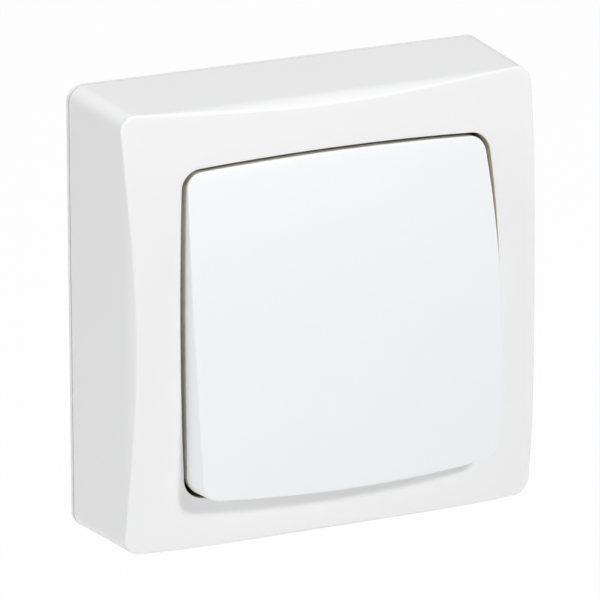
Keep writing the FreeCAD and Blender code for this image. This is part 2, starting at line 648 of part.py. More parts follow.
def make_housing():
    housing = new_body("mechanism_housing")
    half_x, half_z = "sizes.housing_width / 2", "sizes.housing_height / 2"
    sketch = sketch_on(housing, "housing_outline", "XZ_Plane", "sizes.floor_thickness")
    square(sketch, half_x, half_z)
    pad(housing, sketch, "sizes.housing_depth - sizes.floor_thickness")
    round_edges(housing, "housing_corners", "sizes.housing_round", runs_deep)
    sketch = sketch_on(housing, "housing_tabs", "XZ_Plane", "sizes.post_depth")
    square(sketch, "sizes.tab_width / 2", TAB_REACH)
    pad(housing, sketch, "sizes.tab_thickness")
    sketch = sketch_on(housing, "housing_chamber", "XZ_Plane", "sizes.shelf_depth")
    square(sketch, "sizes.chamber_width / 2", "sizes.chamber_height / 2")
    pocket(housing, sketch, "sizes.housing_depth", forwards=True)
    add_terminal_rooms(housing)
    sketch = sketch_on(housing, "tab_holes", "XZ_Plane", "sizes.post_depth")
    for sign in (1, -1):
        circle(sketch, "0", "%d * %s" % (sign, POST_PLACE),
               "sizes.housing_screw_radius + sizes.hole_clearance")
    pocket(housing, sketch, "sizes.tab_thickness + sizes.housing_depth", forwards=True)
    sketch = sketch_on(housing, "frame_pilots", "XZ_Plane", "sizes.housing_depth")
    for across, up in frame_screw_places():
        circle(sketch, across, up, "sizes.frame_screw_radius + sizes.hole_clearance")
    pocket(housing, sketch, "sizes.frame_screw_length")
    keep(housing, "mechanism_housing")


def terminal_places():
    """Name, side and height of each terminal: the common one is on the left."""
    return (("common", -1, "sizes.contact_spacing / 2"),
            ("upper", 1, "sizes.contact_spacing / 2"),
            ("lower", 1, "-sizes.contact_spacing / 2"))


def add_terminal_rooms(housing):
    """Rooms for the terminal cages, channels for their strips and holes for the wires."""
    for name, sign, up in terminal_places():
        side = "%d * sizes.cage_place" % sign
        half_x = "(sizes.cage_length / 2 + sizes.cage_room)"
        half_z = "(sizes.cage_width / 2 + sizes.cage_room)"
        sketch = sketch_on(housing, name + "_room", "XZ_Plane", CAGE_BACK)
        rectangle(sketch, "%s - %s" % (side, half_x), "%s - %s" % (up, half_z),
                  "%s + %s" % (side, half_x), "%s + %s" % (up, half_z))
        pocket(housing, sketch, "sizes.housing_depth", forwards=True)
        sketch = sketch_on(housing, name + "_channel", "XZ_Plane", "sizes.shelf_depth")
        if name == "common":
            common_outline(sketch, "sizes.cage_room", side)
        else:
            half = "(sizes.strip_width / 2 + sizes.cage_room)"
            rectangle(sketch, "0", "%s - %s" % (up, half), side, "%s + %s" % (up, half))
        pocket(housing, sketch, "sizes.housing_depth", forwards=True)
        sketch = sketch_on(housing, name + "_wire_hole", "YZ_Plane", side)
        wire_depth = "(%s + sizes.wire_hole_radius)" % STRIP_TOP
        circle(sketch, minus(wire_depth), up, "sizes.wire_hole_radius")
        pocket(housing, sketch, "sizes.housing_width", forwards=(sign == 1))


def common_outline(sketch, room, end):
    """The stepped strip from the middle to the common terminal, drawn out by some room."""
    half = "(sizes.strip_width / 2 + %s)" % room
    level = "sizes.contact_spacing / 2"
    polygon(sketch, ((half, minus(half)), (half, half),
                     ("%s - sizes.step_place" % half, half),
                     ("%s - sizes.step_place" % half, "%s + %s" % (level, half)),
                     (end, "%s + %s" % (level, half)), (end, "%s - %s" % (level, half)),
                     ("-sizes.step_place - %s" % half, "%s - %s" % (level, half)),
                     ("-sizes.step_place - %s" % half, minus(half))))


def frame_screw_places():
    return [("%d * (sizes.housing_width / 2 - sizes.frame_screw_inset)" % x,
             "%d * (sizes.housing_height / 2 - sizes.frame_screw_inset)" % z)
            for x in (1, -1) for z in (1, -1)]


def make_bearing_frame():
    """A plate with a window and two upright ears that carry the rocker."""
    frame = new_body("bearing_frame")
    half_x = "(sizes.housing_width / 2 - sizes.frame_margin)"
    half_z = "(sizes.housing_height / 2 - sizes.frame_margin)"
    sketch = sketch_on(frame, "frame_outline", "XZ_Plane", "sizes.housing_depth")
    square(sketch, half_x, half_z)
    pad(frame, sketch, "sizes.frame_thickness")
    round_edges(frame, "frame_corners", "sizes.housing_round", runs_deep)
    sketch = sketch_on(frame, "frame_window", "XZ_Plane", "sizes.housing_depth")
    square(sketch, "sizes.frame_window_width / 2", "sizes.frame_window_height / 2")
    pocket(frame, sketch, "sizes.frame_thickness", forwards=True)
    for sign, side in ((1, "right"), (-1, "left")):
        near = EAR_INNER if sign == 1 else minus(EAR_OUTER)
        sketch = sketch_on(frame, "ear_" + side, "YZ_Plane", near)
        ear_outline(sketch)
        pad(frame, sketch, "sizes.ear_thickness")
        sketch = sketch_on(frame, "ear_bore_" + side, "YZ_Plane", near)
        circle(sketch, minus(PIVOT_DEPTH), "0",
               "sizes.trunnion_radius + sizes.trunnion_clearance")
        pocket(frame, sketch, "sizes.ear_thickness", forwards=True)
    sketch = sketch_on(frame, "frame_holes", "XZ_Plane", "sizes.housing_depth")
    for across, up in frame_screw_places():
        circle(sketch, across, up, "sizes.frame_screw_radius + sizes.hole_clearance")
    pocket(frame, sketch, "sizes.frame_thickness", forwards=True)
    sketch = sketch_on(frame, "driver_holes", "XZ_Plane", "sizes.housing_depth")
    for name, sign, up in terminal_places():
        circle(sketch, "%d * sizes.cage_place" % sign, up, "sizes.driver_hole_radius")
    pocket(frame, sketch, "sizes.housing_depth", forwards=True)
    keep(frame, "bearing_frame")


def ear_outline(sketch):
    """A foot that narrows to a round end about the rocker's axis. Drawn with y across."""
    foot, front = minus("sizes.housing_depth"), minus(PIVOT_DEPTH)
    size = value("sizes.ear_half_height")
    curve = arc(sketch, (value(front), 0), size, 90, 270)
    lower = line(sketch, (front, "-sizes.ear_half_height"), (foot, "-sizes.ear_foot_half_height"))
    back = line(sketch, (foot, "-sizes.ear_foot_half_height"), (foot, "sizes.ear_foot_half_height"))
    upper = line(sketch, (foot, "sizes.ear_foot_half_height"), (front, "sizes.ear_half_height"))
    loop(sketch, [curve, lower, back, upper])
    fix_point(sketch, curve, 3, front, "0")
    fix_point(sketch, curve, 1, front, "sizes.ear_half_height")
    sketch.addConstraint(Sketcher.Constraint("Vertical", curve, 1, curve, 2))
    fix_point(sketch, lower, 2, foot, "-sizes.ear_foot_half_height")
    fix_point(sketch, back, 2, foot, "sizes.ear_foot_half_height")


# Contacts and terminals

def make_fixed_contact(name, up):
    """A strip from a terminal to its place under one end of the arm."""
    contact = new_body(name + "_contact")
    sketch = sketch_on(contact, name + "_strip", "XZ_Plane", "sizes.shelf_depth")
    half = "sizes.strip_width / 2"
    rectangle(sketch, minus(half), "%s - %s" % (up, half), CAGE_OUTER, "%s + %s" % (up, half))
    pad(contact, sketch, "sizes.strip_thickness")
    round_edges(contact, name + "_strip_corners", "sizes.strip_thickness", runs_deep)
    keep(contact, name + "_contact")


def make_common_contact():
    """A strip whose end is bent up into the edge on which the arm rocks."""
    contact = new_body("common_contact")
    sketch = sketch_on(contact, "common_strip", "XZ_Plane", "sizes.shelf_depth")
    common_outline(sketch, "0", minus(CAGE_OUTER))
    pad(contact, sketch, "sizes.strip_thickness")
    sketch = sketch_on(contact, "pivot_edge", "YZ_Plane")
    tongue = "sizes.strip_thickness / 2"
    top = minus("(sizes.arm_pivot_depth - sizes.arm_seat_gap)")
    rectangle(sketch, top, minus(tongue), minus("sizes.shelf_depth"), tongue)
    pad(contact, sketch, "sizes.strip_width", symmetric=True)
    level = -value("sizes.arm_pivot_depth - sizes.arm_seat_gap")
    at_top = lambda edge: all(abs(end.Y - level) < 0.01 for end in edge.Vertexes)
    along = lambda edge: abs(edge.Vertexes[0].X - edge.Vertexes[-1].X) > 1
    round_edges(contact, "pivot_edge_round", "sizes.edge_round",
                lambda edge: at_top(edge) and along(edge))
    keep(contact, "common_contact")


def make_tip(name, sign):
    """A silver rivet head about the Y axis: a low cylinder with a rounded face."""
    tip = new_body(name)
    sketch = sketch_on(tip, name + "_profile", "XY_Plane")
    face = "%d * sizes.tip_height" % sign
    low, high = ("0", face) if sign == 1 else (face, "0")
    rectangle(sketch, "0", low, "sizes.tip_radius", high)
    spin(tip, sketch, "Revolution")
    level = value(face)
    round_edges(tip, name + "_round", "sizes.tip_height / 2",
                lambda edge: abs(edge.Vertexes[0].Y - level) < 0.01 and len(edge.Vertexes) == 1)
    return tip


def make_fixed_tips():
    for name, up in (("upper", "sizes.contact_spacing / 2"), ("lower", "-sizes.contact_spacing / 2")):
        tip = make_tip(name + "_contact_tip", -1)
        place(tip, "0", STRIP_TOP, up)
        keep(tip, name + "_contact_tip")


def make_terminals():
    """Square cages that clamp a wire on the end of each strip."""
    for name, sign, up in terminal_places():
        cage = new_body(name + "_terminal")
        half = "sizes.cage_width / 2"
        near = "%d * sizes.cage_place - sizes.cage_length / 2" % sign
        sketch = sketch_on(cage, name + "_cage", "YZ_Plane", near)
        rectangle(sketch, minus(CAGE_FRONT), "%s - %s" % (up, half), minus(CAGE_BACK), "%s + %s" % (up, half))
        rectangle(sketch, "%s + sizes.cage_wall" % minus(CAGE_FRONT), "%s - %s + sizes.cage_wall" % (up, half),
                  "%s - sizes.cage_wall" % minus(CAGE_BACK), "%s + %s - sizes.cage_wall" % (up, half))
        pad(cage, sketch, "sizes.cage_length")
        sketch = sketch_on(cage, name + "_thread", "XZ_Plane", CAGE_FRONT)
        circle(sketch, "%d * sizes.cage_place" % sign, up,
               "sizes.terminal_screw_radius + sizes.hole_clearance")
        pocket(cage, sketch, "1.5 * sizes.cage_wall")
        keep(cage, name + "_terminal")


def make_screw(name, shank, length, head, height):
    """A pan head screw about the Y axis, its head's underside at y = 0, with a driver slot."""
    screw = new_body(name)
    sketch = sketch_on(screw, name + "_profile", "XY_Plane")
    polygon(sketch, (("0", minus(height)), (head, minus(height)), (head, "0"), (shank, "0"),
                     (shank, "%s - %s / 2" % (length, shank)), ("%s / 2" % shank, length), ("0", length)))
    spin(screw, sketch, "Revolution")
    level, reach = -value(height), value(head)
    rim = lambda edge: abs(edge.Vertexes[0].Y - level) < 0.01 and edge.BoundBox.XLength > 1.9 * reach
    round_edges(screw, name + "_head_round", "%s / 2" % height, rim)
    sketch = sketch_on(screw, name + "_driver_slot", "XZ_Plane", height)
    square(sketch, head, "sizes.screw_slot_width / 2")
    pocket(screw, sketch, "sizes.screw_slot_depth")
    return screw


def make_screw_group(label, places, seat, shank, length, head, height):
    """Separate screws of one kind that share a sub-part."""
    screws = []
    for number, (across, up) in enumerate(places):
        screw = make_screw("%s_%d" % (label, number + 1), shank, length, head, height)
        place(screw, across, seat, up)
        screws.append(screw)
    group = DOC.addObject("Part::Compound", label + "_group")
    group.Links = screws
    DOC.recompute()
    keep(group, label)


def make_screws():
    make_screw_group("terminal_screws", [("%d * sizes.cage_place" % sign, up)
                                         for name, sign, up in terminal_places()],
                     CAGE_FRONT, "sizes.terminal_screw_radius",
                     "(sizes.cage_wall + sizes.terminal_screw_reach)",
                     "sizes.terminal_head_radius", "sizes.terminal_head_height")
    make_screw_group("housing_screws", [("0", "%d * %s" % (sign, POST_PLACE)) for sign in (1, -1)],
                     TAB_FRONT, "sizes.pilot_radius", "sizes.housing_screw_length",
                     "sizes.housing_head_radius", "sizes.housing_head_height")
    make_screw_group("bearing_frame_screws", frame_screw_places(),
                     FRAME_FRONT, "sizes.frame_screw_radius", "sizes.frame_screw_length",
                     "sizes.frame_head_radius", "sizes.frame_head_height")


def make_contact_arm():
    """A strip bent to a shallow trough, which rocks on the common contact's edge."""
    arm = new_body("contact_arm")
    sketch = sketch_on(arm, "arm_profile", "YZ_Plane")
    back, front = minus("sizes.arm_pivot_depth"), minus(ARM_TOP)
    rise = "sizes.arm_half_length * tan(sizes.arm_trough * 1deg)"
    reach = "sizes.arm_half_length"
    polygon(sketch, ((front, "0"), ("%s - %s" % (front, rise), reach), ("%s - %s" % (back, rise), reach),
                     (back, "0"), ("%s - %s" % (back, rise), minus(reach)),
                     ("%s - %s" % (front, rise), minus(reach))))
    pad(arm, sketch, "sizes.strip_width", symmetric=True)
    tilt(arm, ARM_TILT, "sizes.arm_pivot_depth")
    keep(arm, "contact_arm")


def make_moving_tips():
    """A silver tip under each end of the arm, square to its slope, at the fixed tips' places."""
    tips = []
    for name, sign in (("upper", 1), ("lower", -1)):
        tip = make_tip(name + "_moving_tip", 1)
        lean = "%d * sizes.arm_trough" % sign
        turn = "rotation(vector(1; 0; 0); %s)" % lean
        height = "(sizes.contact_spacing / 2)"
        rise = "%s * tan(sizes.arm_trough * 1deg)" % height
        spot = "vector(0; %s - %s; %d * %s)" % (minus("sizes.arm_pivot_depth"), rise, sign, height)
        tip.setExpression("Placement", "placement(%s; %s)" % (spot, turn))
        tips.append(tip)
    pair = DOC.addObject("Part::Compound", "moving_tip_pair")
    pair.Links = tips
    tilt(pair, ARM_TILT, "sizes.arm_pivot_depth")
    keep(pair, "moving_contact_tips")


# Rocker: the key that is pressed, the cradle that turns, the plunger and its spring

def make_key_solid(name, inset, skirt, apex, radius):
    """A block with the rocker's bowed outline and domed face, drawn in by an inset."""
    solid = new_body(name)
    sketch = sketch_on(solid, name + "_outline", "XZ_Plane", skirt)
    barrel(sketch, "(%s - %s)" % (KEY_HALF_X, inset), "(%s - %s)" % (KEY_HALF_Z, inset),
           "sizes.rocker_bulge")
    pad(solid, sketch, "%s - %s + sizes.cover_wall / 2" % (apex, skirt))
    round_edges(solid, name + "_corners", "sizes.rocker_corner - %s / 2" % inset, runs_deep)
    dome_cut(solid, name + "_dome", apex, radius)
    return solid


def make_rocker_key():
    outer = make_key_solid("key_outer", "0", SKIRT_DEPTH, "sizes.rocker_apex",
                           "sizes.rocker_dome_radius")
    round_dome(outer, "key_edge_round", "sizes.rocker_round")
    core = make_key_solid("key_core", "sizes.rocker_wall", "(%s - sizes.rocker_wall)" % SKIRT_DEPTH,
                          "(sizes.rocker_apex - sizes.rocker_wall)",
                          "(sizes.rocker_dome_radius - sizes.rocker_wall)")
    shell = join("Part::Cut", "key_shell", (outer, core))
    parts = [shell]
    top = "(sizes.rocker_apex - sizes.rocker_wall / 2)"
    for x in (1, -1):
        for z in (1, -1):
            across, up = "%d * sizes.pad_place_x" % x, "%d * sizes.pad_place_z" % z
            parts.append(box("key_pad", "(%s - sizes.pad_width / 2)" % across,
                             "(%s + sizes.pad_width / 2)" % across, CRADLE_TOP, top,
                             "(%s - sizes.pad_height / 2)" % up, "(%s + sizes.pad_height / 2)" % up))
    for z in (1, -1):
        low, high = "(sizes.leg_place - sizes.leg_thickness / 2)", "(sizes.leg_place + sizes.leg_thickness / 2)"
        hook = "(sizes.leg_place + sizes.leg_thickness / 2 + sizes.hook_reach)"
        ends = (low, high) if z == 1 else (minus(high), minus(low))
        hook_ends = (low, hook) if z == 1 else (minus(hook), minus(low))
        half = "sizes.leg_width / 2"
        parts.append(box("key_leg", minus(half), half, LEG_END, top, *ends))
        parts.append(box("key_hook", minus(half), half, LEG_END,
                         "(%s - sizes.leg_room)" % CRADLE_BACK, *hook_ends))
    key = join("Part::MultiFuse", "key_whole", parts)
    tilt(key, "-sizes.rock_angle", PIVOT_DEPTH)
    keep(key, "rocker_key")


def make_cradle():
    """A plate with two cheeks, their trunnions, and the guide tube of the plunger."""
    cradle = new_body("rocker_cradle")
    sketch = sketch_on(cradle, "cradle_plate_outline", "XZ_Plane", CRADLE_BACK)
    square(sketch, "sizes.cradle_half_width", "sizes.cradle_half_height")
    pad(cradle, sketch, "sizes.cradle_plate")
    for sign, side in ((1, "right"), (-1, "left")):
        inner = "(sizes.cradle_half_width - sizes.cheek_thickness)"
        start = inner if sign == 1 else "-sizes.cradle_half_width"
        sketch = sketch_on(cradle, "cheek_" + side, "YZ_Plane", start)
        cheek_back = minus("(%s - sizes.trunnion_radius)" % PIVOT_DEPTH)
        rectangle(sketch, minus(CRADLE_TOP), "-sizes.cheek_half_height",
                  cheek_back, "sizes.cheek_half_height")
        pad(cradle, sketch, "sizes.cheek_thickness")
    sketch = sketch_on(cradle, "trunnions", "YZ_Plane")
    circle(sketch, minus(PIVOT_DEPTH), "0", "sizes.trunnion_radius")
    pad(cradle, sketch, "2 * sizes.trunnion_end", symmetric=True)
    sketch = sketch_on(cradle, "cradle_clear", "XZ_Plane", GUIDE_END)
    square(sketch, "(sizes.cradle_half_width - sizes.cheek_thickness)", "sizes.cradle_half_height")
    pocket(cradle, sketch, "%s - %s" % (CRADLE_BACK, GUIDE_END), forwards=True)
    sketch = sketch_on(cradle, "guide_tube", "XZ_Plane", GUIDE_END)
    circle(sketch, "0", "0", "sizes.guide_radius")
    pad(cradle, sketch, "%s - %s + sizes.cradle_plate / 2" % (CRADLE_BACK, GUIDE_END))
    sketch = sketch_on(cradle, "guide_bore", "XZ_Plane", GUIDE_END)
    circle(sketch, "0", "0", BORE_RADIUS)
    pocket(cradle, sketch, "%s - %s" % (CRADLE_BACK, GUIDE_END), forwards=True)
    sketch = sketch_on(cradle, "leg_slots", "XZ_Plane", CRADLE_BACK)
    for z in (1, -1):
        low = "(sizes.leg_place - sizes.leg_thickness / 2 - sizes.leg_room)"
        high = "(sizes.leg_place + sizes.leg_thickness / 2 + sizes.leg_room)"
        ends = (low, high) if z == 1 else (minus(high), minus(low))
        half = "(sizes.leg_width / 2 + sizes.leg_room)"
        rectangle(sketch, minus(half), ends[0], half, ends[1])
    pocket(cradle, sketch, "sizes.cradle_plate", forwards=True)
    tilt(cradle, "-sizes.rock_angle", PIVOT_DEPTH)
    keep(cradle, "rocker_cradle")


def make_plunger():
    """A pin with a round nose that presses on the contact arm."""
    plunger = new_body("plunger")
    sketch = sketch_on(plunger, "plunger_section", "XZ_Plane", TIP_DEPTH)
    circle(sketch, "0", "0", "sizes.plunger_radius")
    pad(plunger, sketch, "sizes.plunger_length")
    level = -value(TIP_DEPTH)
    round_edges(plunger, "plunger_nose", "sizes.plunger_radius * 0.8",
                lambda edge: len(edge.Vertexes) == 1 and abs(edge.Vertexes[0].Y - level) < 0.01)
    tilt(plunger, "-sizes.rock_angle", PIVOT_DEPTH)
    keep(plunger, "plunger")


def make_spring():
    """A coil between the plunger and the closed end of its guide."""
    spring = new_body("plunger_spring")
    sketch = sketch_on(spring, "spring_wire_section", "XY_Plane")
    start = "(%s + sizes.spring_wire + sizes.tip_gap)" % PLUNGER_TOP
    circle(sketch, "sizes.spring_radius", minus(start), "sizes.spring_wire")
    coil = spring.newObject("PartDesign::AdditiveHelix", "spring_coil")
    coil.Profile = sketch
    coil.ReferenceAxis = (sketch, ["V_Axis"])
    coil.Mode = "height-turns-angle"
    coil.setExpression("Height", "%s - %s - sizes.spring_wire - sizes.tip_gap" % (CRADLE_BACK, start))
    coil.setExpression("Turns", "sizes.spring_turns")
    coil.Reversed = True
    DOC.recompute()
    tilt(spring, "-sizes.rock_angle", PIVOT_DEPTH)
    keep(spring, "plunger_spring")


# The whole switch

def make_all():
    cover = join("Part::Cut", "cover_shell", (make_cover(), make_cover_core()))
    keep(cover, "cover_frame")
    make_base()
    make_housing()
    make_bearing_frame()
    make_common_contact()
    make_fixed_contact("upper", "sizes.contact_spacing / 2")
    make_fixed_contact("lower", "-sizes.contact_spacing / 2")
    make_fixed_tips()
    make_terminals()
    make_screws()
    make_contact_arm()
    make_moving_tips()
    make_rocker_key()
    make_cradle()
    make_plunger()
    make_spring()


def check_document():
    """Stop if a feature failed or a sub-part has no sound shape."""
    DOC.recompute()
    for thing in DOC.Objects:
        if "Invalid" in thing.State or "Error" in thing.State:
            raise ValueError("%s is %s" % (thing.Name, thing.State))
    for solid in SOLIDS:
        shape = solid.Shape
        if shape.isNull() or not shape.isValid() or not shape.Solids:
            raise ValueError("%s has no sound shape" % solid.Label)


def write_parts():
    os.makedirs("parts", exist_ok=True)
    for solid in SOLIDS:
        solid.Shape.exportStep("parts/%s.step" % solid.Label)
        bounds = solid.Shape.BoundBox
        print("%-22s %d solids  x %.2f %.2f  y %.2f %.2f  z %.2f %.2f" % (
            solid.Label, len(solid.Shape.Solids), bounds.XMin, bounds.XMax,
            bounds.YMin, bounds.YMax, bounds.ZMin, bounds.ZMax))


make_all()
check_document()
write_parts()
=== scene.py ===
import bmesh
import bpy
import math
from mathutils import Matrix, Vector


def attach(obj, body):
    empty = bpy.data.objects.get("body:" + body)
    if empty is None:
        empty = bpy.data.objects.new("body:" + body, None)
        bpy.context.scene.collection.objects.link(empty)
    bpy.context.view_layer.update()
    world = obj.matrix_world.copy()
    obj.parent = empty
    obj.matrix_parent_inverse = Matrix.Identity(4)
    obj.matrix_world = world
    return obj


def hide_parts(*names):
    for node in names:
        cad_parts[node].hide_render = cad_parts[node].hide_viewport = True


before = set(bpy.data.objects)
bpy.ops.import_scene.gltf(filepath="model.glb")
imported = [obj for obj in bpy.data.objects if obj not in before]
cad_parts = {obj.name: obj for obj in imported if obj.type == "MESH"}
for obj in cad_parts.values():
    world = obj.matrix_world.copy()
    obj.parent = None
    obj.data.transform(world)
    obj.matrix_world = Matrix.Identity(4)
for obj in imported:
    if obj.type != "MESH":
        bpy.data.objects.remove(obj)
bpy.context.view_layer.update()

# Surface mounted light switch. Metres, wall at y = 0, front towards -Y.
# The shapes' sizes are in millimetres, and depth is measured from the wall. They follow the part's sizes,
# but the rocker's face stands half a millimetre further out, and its skirt widens towards its end.

MM = 0.001

# Cover sizes

PLATE_HALF = 41.5
CORNER_RADIUS = 3.0
LEAN = math.radians(2.0)
DRAFT = math.tan(LEAN)
COVER_BACK = 1.05
BACK_CHAMFER = 0.12
SHOULDER_DEPTH = 21.5
SHOULDER_RADIUS = 9.5
DOME_DEPTH = 29.4
DOME_RADIUS = 209.0
CREASE_ROUND = 0.7
COVER_WALL = 2.0
FRONT_WALL = 2.4
CORE_LEAN = 0.8
COLLAR_WALL = 1.6
COLLAR_DEPTH = 20.5
OPENING_HALF = 31.8
OPENING_BULGE = 1.5
OPENING_CORNER = 4.0
OPENING_ROUND = 0.25

# Rocker sizes

KEY_HALF_X = 30.6
KEY_HALF_Z = 30.9
KEY_BULGE = 1.2
KEY_CORNER = 3.2
KEY_FOOT_CORNER = 4.3
KEY_ROUND = 0.6
KEY_APEX = 32.8
KEY_DOME_RADIUS = 195.0
KEY_WALL = 1.8
KEY_INNER_ROUND = 0.3
KEY_SKIRT = 21.6
KEY_FLARE_X = 0.4
KEY_FLARE_Z = 0.1
PIVOT_DEPTH = 25.5
ROCK_ANGLE = math.radians(5.7)

# Mesh steps: how finely each stretch is divided, and the depths of the rows up the cover's side.
# A rounded edge takes its directions from points close to it: PROBE away on the cover, and at the share
# KEY_PROBE of the way out on the rocker.

SIDE_STEPS = 40
CORNER_STEPS = 10
SOLVE_STEPS = 60
PROBE = 0.3
KEY_PROBE = 0.99
SIDE_LEVELS = (4.0, 9.0, 14.0, 18.0, 20.5)
ROLL_START = 21.2
ROLL_LEAST = 20.6
ROLL_SPACING = 0.05
ROLL_STEPS = 10
ROLL_END = 1.15
CREASE_STEPS = 8
FRONT_STEPS = 12
LIP_STEPS = 4
COLLAR_STEPS = 4
KEY_FACE_STEPS = 18
KEY_INNER_STEPS = 6
KEY_FACE_SPREAD = 0.8
KEY_BEND_STEPS = 7
KEY_SKIRT_STEPS = 5
SMOOTH_ANGLE = math.radians(40)

# Colours

COVER_WHITE = (0.846, 0.846, 0.849)
ROCKER_WHITE = (0.85, 0.856, 0.87)
# Painted shade: the khaki on the collar's inner face stands in for the dim warm light deep in the gap round
# the rocker.
COLLAR_PAINTED_SHADE = (0.68, 0.64, 0.48)
HOUSING_GREY = (0.32, 0.32, 0.30)
CRADLE_CREAM = (0.62, 0.60, 0.54)
STRIP_BRASS = (0.71, 0.50, 0.22)
TIP_SILVER = (0.85, 0.84, 0.82)
SCREW_ZINC = (0.62, 0.61, 0.58)
PLASTIC_IOR = 1.46

# The mask for the painted shade on the collar's inner face: how far out it reaches, and the most that a face
# may look forward.

PAINTED_SHADE_REACH = (OPENING_HALF + 0.6) * MM
PAINTED_SHADE_FACING = 0.6

# Grain

GRAIN_SCALE = 400.0
GRAIN_STRENGTH = 0.02
GRAIN_HEIGHT = 0.0001
SHADE_SCALE = 25
PLASTIC_SPREAD = 0.01
METAL_SPREAD = 0.06

# Light

ROOM_LIGHT = 0.31
BACKDROP_LIGHT = 1.0
FLOOR_HALF = 6.0
FLOOR_HEIGHT = -0.35
FLOOR_GREY = 0.9
FLOOR_GLOW = 0.97
LAMP_AIM = (0, -0.01, 0)
LAMPS = (
    {"name": "key_lamp", "place": (0.41, -1.48, 0.88), "size": 0.22, "power": 12.6},
    {"name": "left_lamp", "place": (-1.5, -0.32, 0.2), "size": 0.5, "power": 7.7},
    {"name": "top_lamp", "place": (0.0, -0.055, 1.5), "size": 0.8, "power": 11.6},
    {"name": "right_lamp", "place": (1.35, -0.55, 0.1), "size": 0.5, "power": 2.2},
)

# Camera. The focal length and the shift of the aim are in pixels of the picture.

CAMERA_AZIMUTH = math.radians(-25.84)
CAMERA_ELEVATION = math.radians(16.78)
CAMERA_ROLL = math.radians(-0.20)
CAMERA_TARGET = Vector((0, -0.012, 0))
CAMERA_DISTANCE = 1.323
FOCAL_PIXELS = 7308.0
AIM_LEFT = 5.3
AIM_DOWN = 4.16
PICTURE_WIDTH = 600
SENSOR_WIDTH = 36
CLIP_START = 0.01
CLIP_END = 20


# Outlines. Each has the same number of points, so that two of them can be joined.

def turned(points, quarters):
    """Points turned by quarters of a turn about the middle."""
    for step in range(quarters):
        points = [(-z, x) for x, z in points]
    return points


def square_outline(half, radius):
    """A square with round corners."""
    inner = half - radius
    side = [(half, -inner + 2 * inner * n / SIDE_STEPS) for n in range(SIDE_STEPS)]
    for n in range(CORNER_STEPS):
        angle = math.pi / 2 * n / CORNER_STEPS
        side.append((inner + radius * math.cos(angle), inner + radius * math.sin(angle)))
    return side + turned(side, 1) + turned(side, 2) + turned(side, 3)


def arc_centre(half, chord, bulge):
    """Radius of a side that bows out, and how far from the middle its centre lies."""
    radius = (chord ** 2 + bulge ** 2) / (2 * bulge)
    return radius, half - radius


def barrel_outline(half_x, half_z, bulge, corner):
    """Four sides that bow out, with round corners between them."""
    chord_x, chord_z = half_x - bulge, half_z - bulge
    side_radius, side_centre = arc_centre(half_x, chord_z, bulge)
    end_radius, end_centre = arc_centre(half_z, chord_x, bulge)
    x, z = chord_x - corner, chord_z - corner
    for step in range(SOLVE_STEPS):
        x = side_centre + math.sqrt((side_radius - corner) ** 2 - z ** 2)
        z = end_centre + math.sqrt((end_radius - corner) ** 2 - x ** 2)
    side_spread = math.asin(z / (side_radius - corner))
    end_spread = math.asin(x / (end_radius - corner))
    quarter = []
    for n in range(SIDE_STEPS // 2):
        angle = side_spread * 2 * n / SIDE_STEPS
        quarter.append((side_centre + side_radius * math.cos(angle), side_radius * math.sin(angle)))
    for n in range(CORNER_STEPS + 1):
        angle = side_spread + (math.pi / 2 - end_spread - side_spread) * n / CORNER_STEPS
        quarter.append((x + corner * math.cos(angle), z + corner * math.sin(angle)))
    for n in range(1, SIDE_STEPS // 2):
        angle = end_spread * (1 - 2 * n / SIDE_STEPS)
        quarter.append((end_radius * math.sin(angle), end_centre + end_radius * math.cos(angle)))
    mirrored = [(-a, b) for a, b in reversed(quarter[1:])]
    upper = quarter + [(0.0, half_z)] + mirrored
    lower = [(-a, -b) for a, b in upper]
    whole = upper + lower
    first = len(whole) - SIDE_STEPS // 2
    return whole[first:] + whole[:first]


# Curves and meshes

def on_dome(x, z, apex, radius):
    """The point of a domed face over a place on the wall."""
    return Vector((x, radius - apex - math.sqrt(radius ** 2 - x * x - z * z), z))


def on_front(x, z):
    """The point of the cover's domed front over a place on the wall."""
    return on_dome(x, z, DOME_DEPTH, DOME_RADIUS)


def on_front_inside(x, z):
    """The point of the front wall's inner face over a place on the wall."""
    return on_dome(x, z, DOME_DEPTH - FRONT_WALL, DOME_RADIUS - FRONT_WALL)


def curve(start, corner, end, steps):
    """Points of a rounding from start to end, pulled towards the corner."""
    points = []
    for n in range(steps + 1):
        t = n / steps
        points.append(start * (1 - t) ** 2 + corner * 2 * t * (1 - t) + end * t * t)
    return points


def rounding(before, corner, after, radius, steps):
    """Round a corner between two directions. Gives the curve and how far it reaches along each."""
    back, ahead = (before - corner).normalized(), (after - corner).normalized()
    turn = math.pi - back.angle(ahead)
    reach = radius * math.tan(turn / 2)
    return curve(corner + back * reach, corner, corner + ahead * reach, steps), reach


def extruded(mesh, loop, edges, ring):
    """Extrude a loop of edges and place the new loop on a ring of points."""
    grown = bmesh.ops.extrude_edge_only(mesh, edges=edges)["geom"]
    fresh = {part for part in grown if isinstance(part, bmesh.types.BMVert)}
    new_edges = [part for part in grown
                 if isinstance(part, bmesh.types.BMEdge) and fresh.issuperset(part.verts)]
    new_loop = []
    for old, point in zip(loop, ring):
        vertex = next(edge.other_vert(old) for edge in old.link_edges if edge.other_vert(old) in fresh)
        vertex.co = point * MM
        new_loop.append(vertex)
    return new_loop, new_edges


